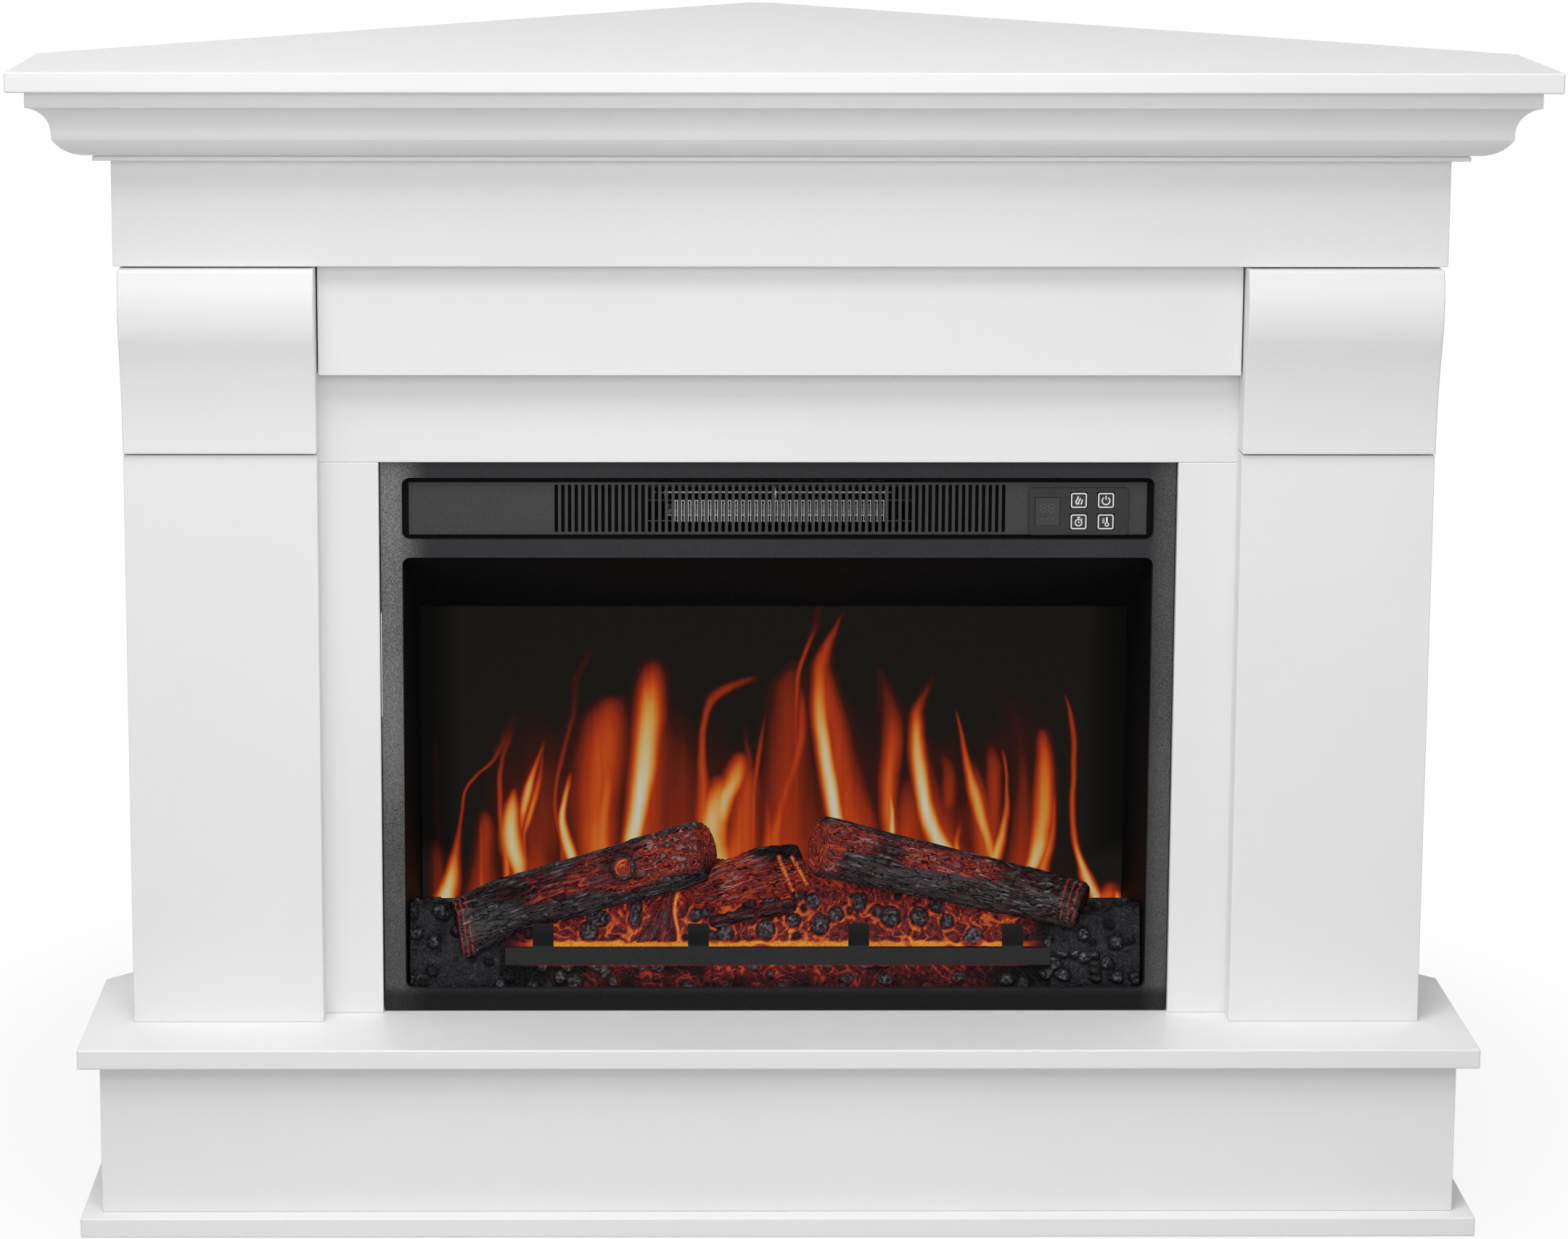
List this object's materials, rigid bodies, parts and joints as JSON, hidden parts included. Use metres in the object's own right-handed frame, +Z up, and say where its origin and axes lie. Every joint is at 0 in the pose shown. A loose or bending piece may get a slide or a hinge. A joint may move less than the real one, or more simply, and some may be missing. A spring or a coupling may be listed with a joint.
{
  "type": "corner fireplace",
  "caption": "White corner mantel surround on a hearth box, with an electric log-effect fire, heater grille and keys in its opening.",
  "frame": {"origin": "floor level, at the centre of the footprint's box", "axes": "+X to the right of a person who faces the fire, +Y towards the room's corner, +Z up"},
  "size_m": [1.118, 0.716, 0.875],
  "materials": {
    "white_mdf": "satin white paint on MDF",
    "backing_board": "white-faced fibreboard",
    "raw_timber": "sawn softwood",
    "zinc_steel": "zinc-coated sheet and screws",
    "charcoal_enamel": "fine-textured black powder coat",
    "panel_plastic": "black moulded plastic with a soft sheen",
    "smoked_window": "smoked clear plastic",
    "circuit_board": "green printed circuit board",
    "mica": "mica sheet",
    "hot_wire": "resistance ribbon",
    "bare_aluminium": "plain",
    "motor_black": "black",
    "flame_sheet": "dark translucent sheet that shows the flame picture",
    "nylon": "natural nylon",
    "ember_resin": "moulded translucent resin, painted with ash and char",
    "char_log": "cast resin log, charred, with glowing cracks",
    "lamp_strip": "white strip with small lamps",
    "gland_rubber": "black"
  },
  "bodies": {
    "mantel": {"top_slab": "white_mdf", "crown_front": "white_mdf", "crown_left": "white_mdf", "crown_right": "white_mdf", "frieze_front": "white_mdf", "frieze_returns": "white_mdf", "upper_lintel": "white_mdf", "lower_lintel": "white_mdf", "corbel_left": "white_mdf", "corbel_right": "white_mdf", "pilaster_left": "white_mdf", "pilaster_right": "white_mdf", "surround_left": "white_mdf", "surround_right": "white_mdf", "side_panel_left": "white_mdf", "side_panel_right": "white_mdf", "back_panel_left": "backing_board", "back_panel_right": "backing_board", "apex_post": "raw_timber", "top_battens": "raw_timber", "panel_screws": "zinc_steel", "hearth_slab": "white_mdf", "box_front": "white_mdf", "box_side_left": "white_mdf", "box_side_right": "white_mdf", "box_backs": "backing_board", "box_ribs": "raw_timber", "plinth_slab": "white_mdf", "insert_frame": "charcoal_enamel", "insert_casing": "zinc_steel", "fixing_brackets": "zinc_steel", "heater_tray": "zinc_steel", "fascia_grille": "charcoal_enamel", "control_panel": "panel_plastic", "display_window": "smoked_window", "key_board": "circuit_board", "element_frame": "mica", "heating_element": "hot_wire", "blower_housing": "zinc_steel", "blower_motor": "motor_black", "header_panel": "charcoal_enamel", "cheek_left": "charcoal_enamel", "cheek_right": "charcoal_enamel", "flame_screen": "flame_sheet", "reflector": "bare_aluminium", "spindle_bushes": "nylon", "flicker_motor": "motor_black", "ember_bed": "ember_resin", "log_left": "char_log", "log_right": "char_log", "log_centre": "char_log", "grate": "charcoal_enamel", "led_strip": "lamp_strip", "cord_gland": "gland_rubber"},
    "key_flame": {"key_flame": "panel_plastic"},
    "key_power": {"key_power": "panel_plastic"},
    "key_timer": {"key_timer": "panel_plastic"},
    "key_heat": {"key_heat": "panel_plastic"},
    "fan": {"blower_wheel": "bare_aluminium"},
    "flicker": {"flicker_spindle": "bare_aluminium"}
  },
  "joints": [
    {"name": "flame_press", "type": "slide", "parent": "mantel", "child": "key_flame", "axis": [0, 1, 0], "range_m": [0, 0.0006], "stiffness_N_per_m": 800},
    {"name": "power_press", "type": "slide", "parent": "mantel", "child": "key_power", "axis": [0, 1, 0], "range_m": [0, 0.0006], "stiffness_N_per_m": 800},
    {"name": "timer_press", "type": "slide", "parent": "mantel", "child": "key_timer", "axis": [0, 1, 0], "range_m": [0, 0.0006], "stiffness_N_per_m": 800},
    {"name": "heat_press", "type": "slide", "parent": "mantel", "child": "key_heat", "axis": [0, 1, 0], "range_m": [0, 0.0006], "stiffness_N_per_m": 800},
    {"name": "fan_spin", "type": "hinge", "parent": "mantel", "child": "fan", "pos_m": [0, -0.1742, 0.5356], "axis": [1, 0, 0], "continuous": true},
    {"name": "flicker_spin", "type": "hinge", "parent": "mantel", "child": "flicker", "pos_m": [0, -0.143, 0.2035], "axis": [1, 0, 0], "continuous": true}
  ]
}
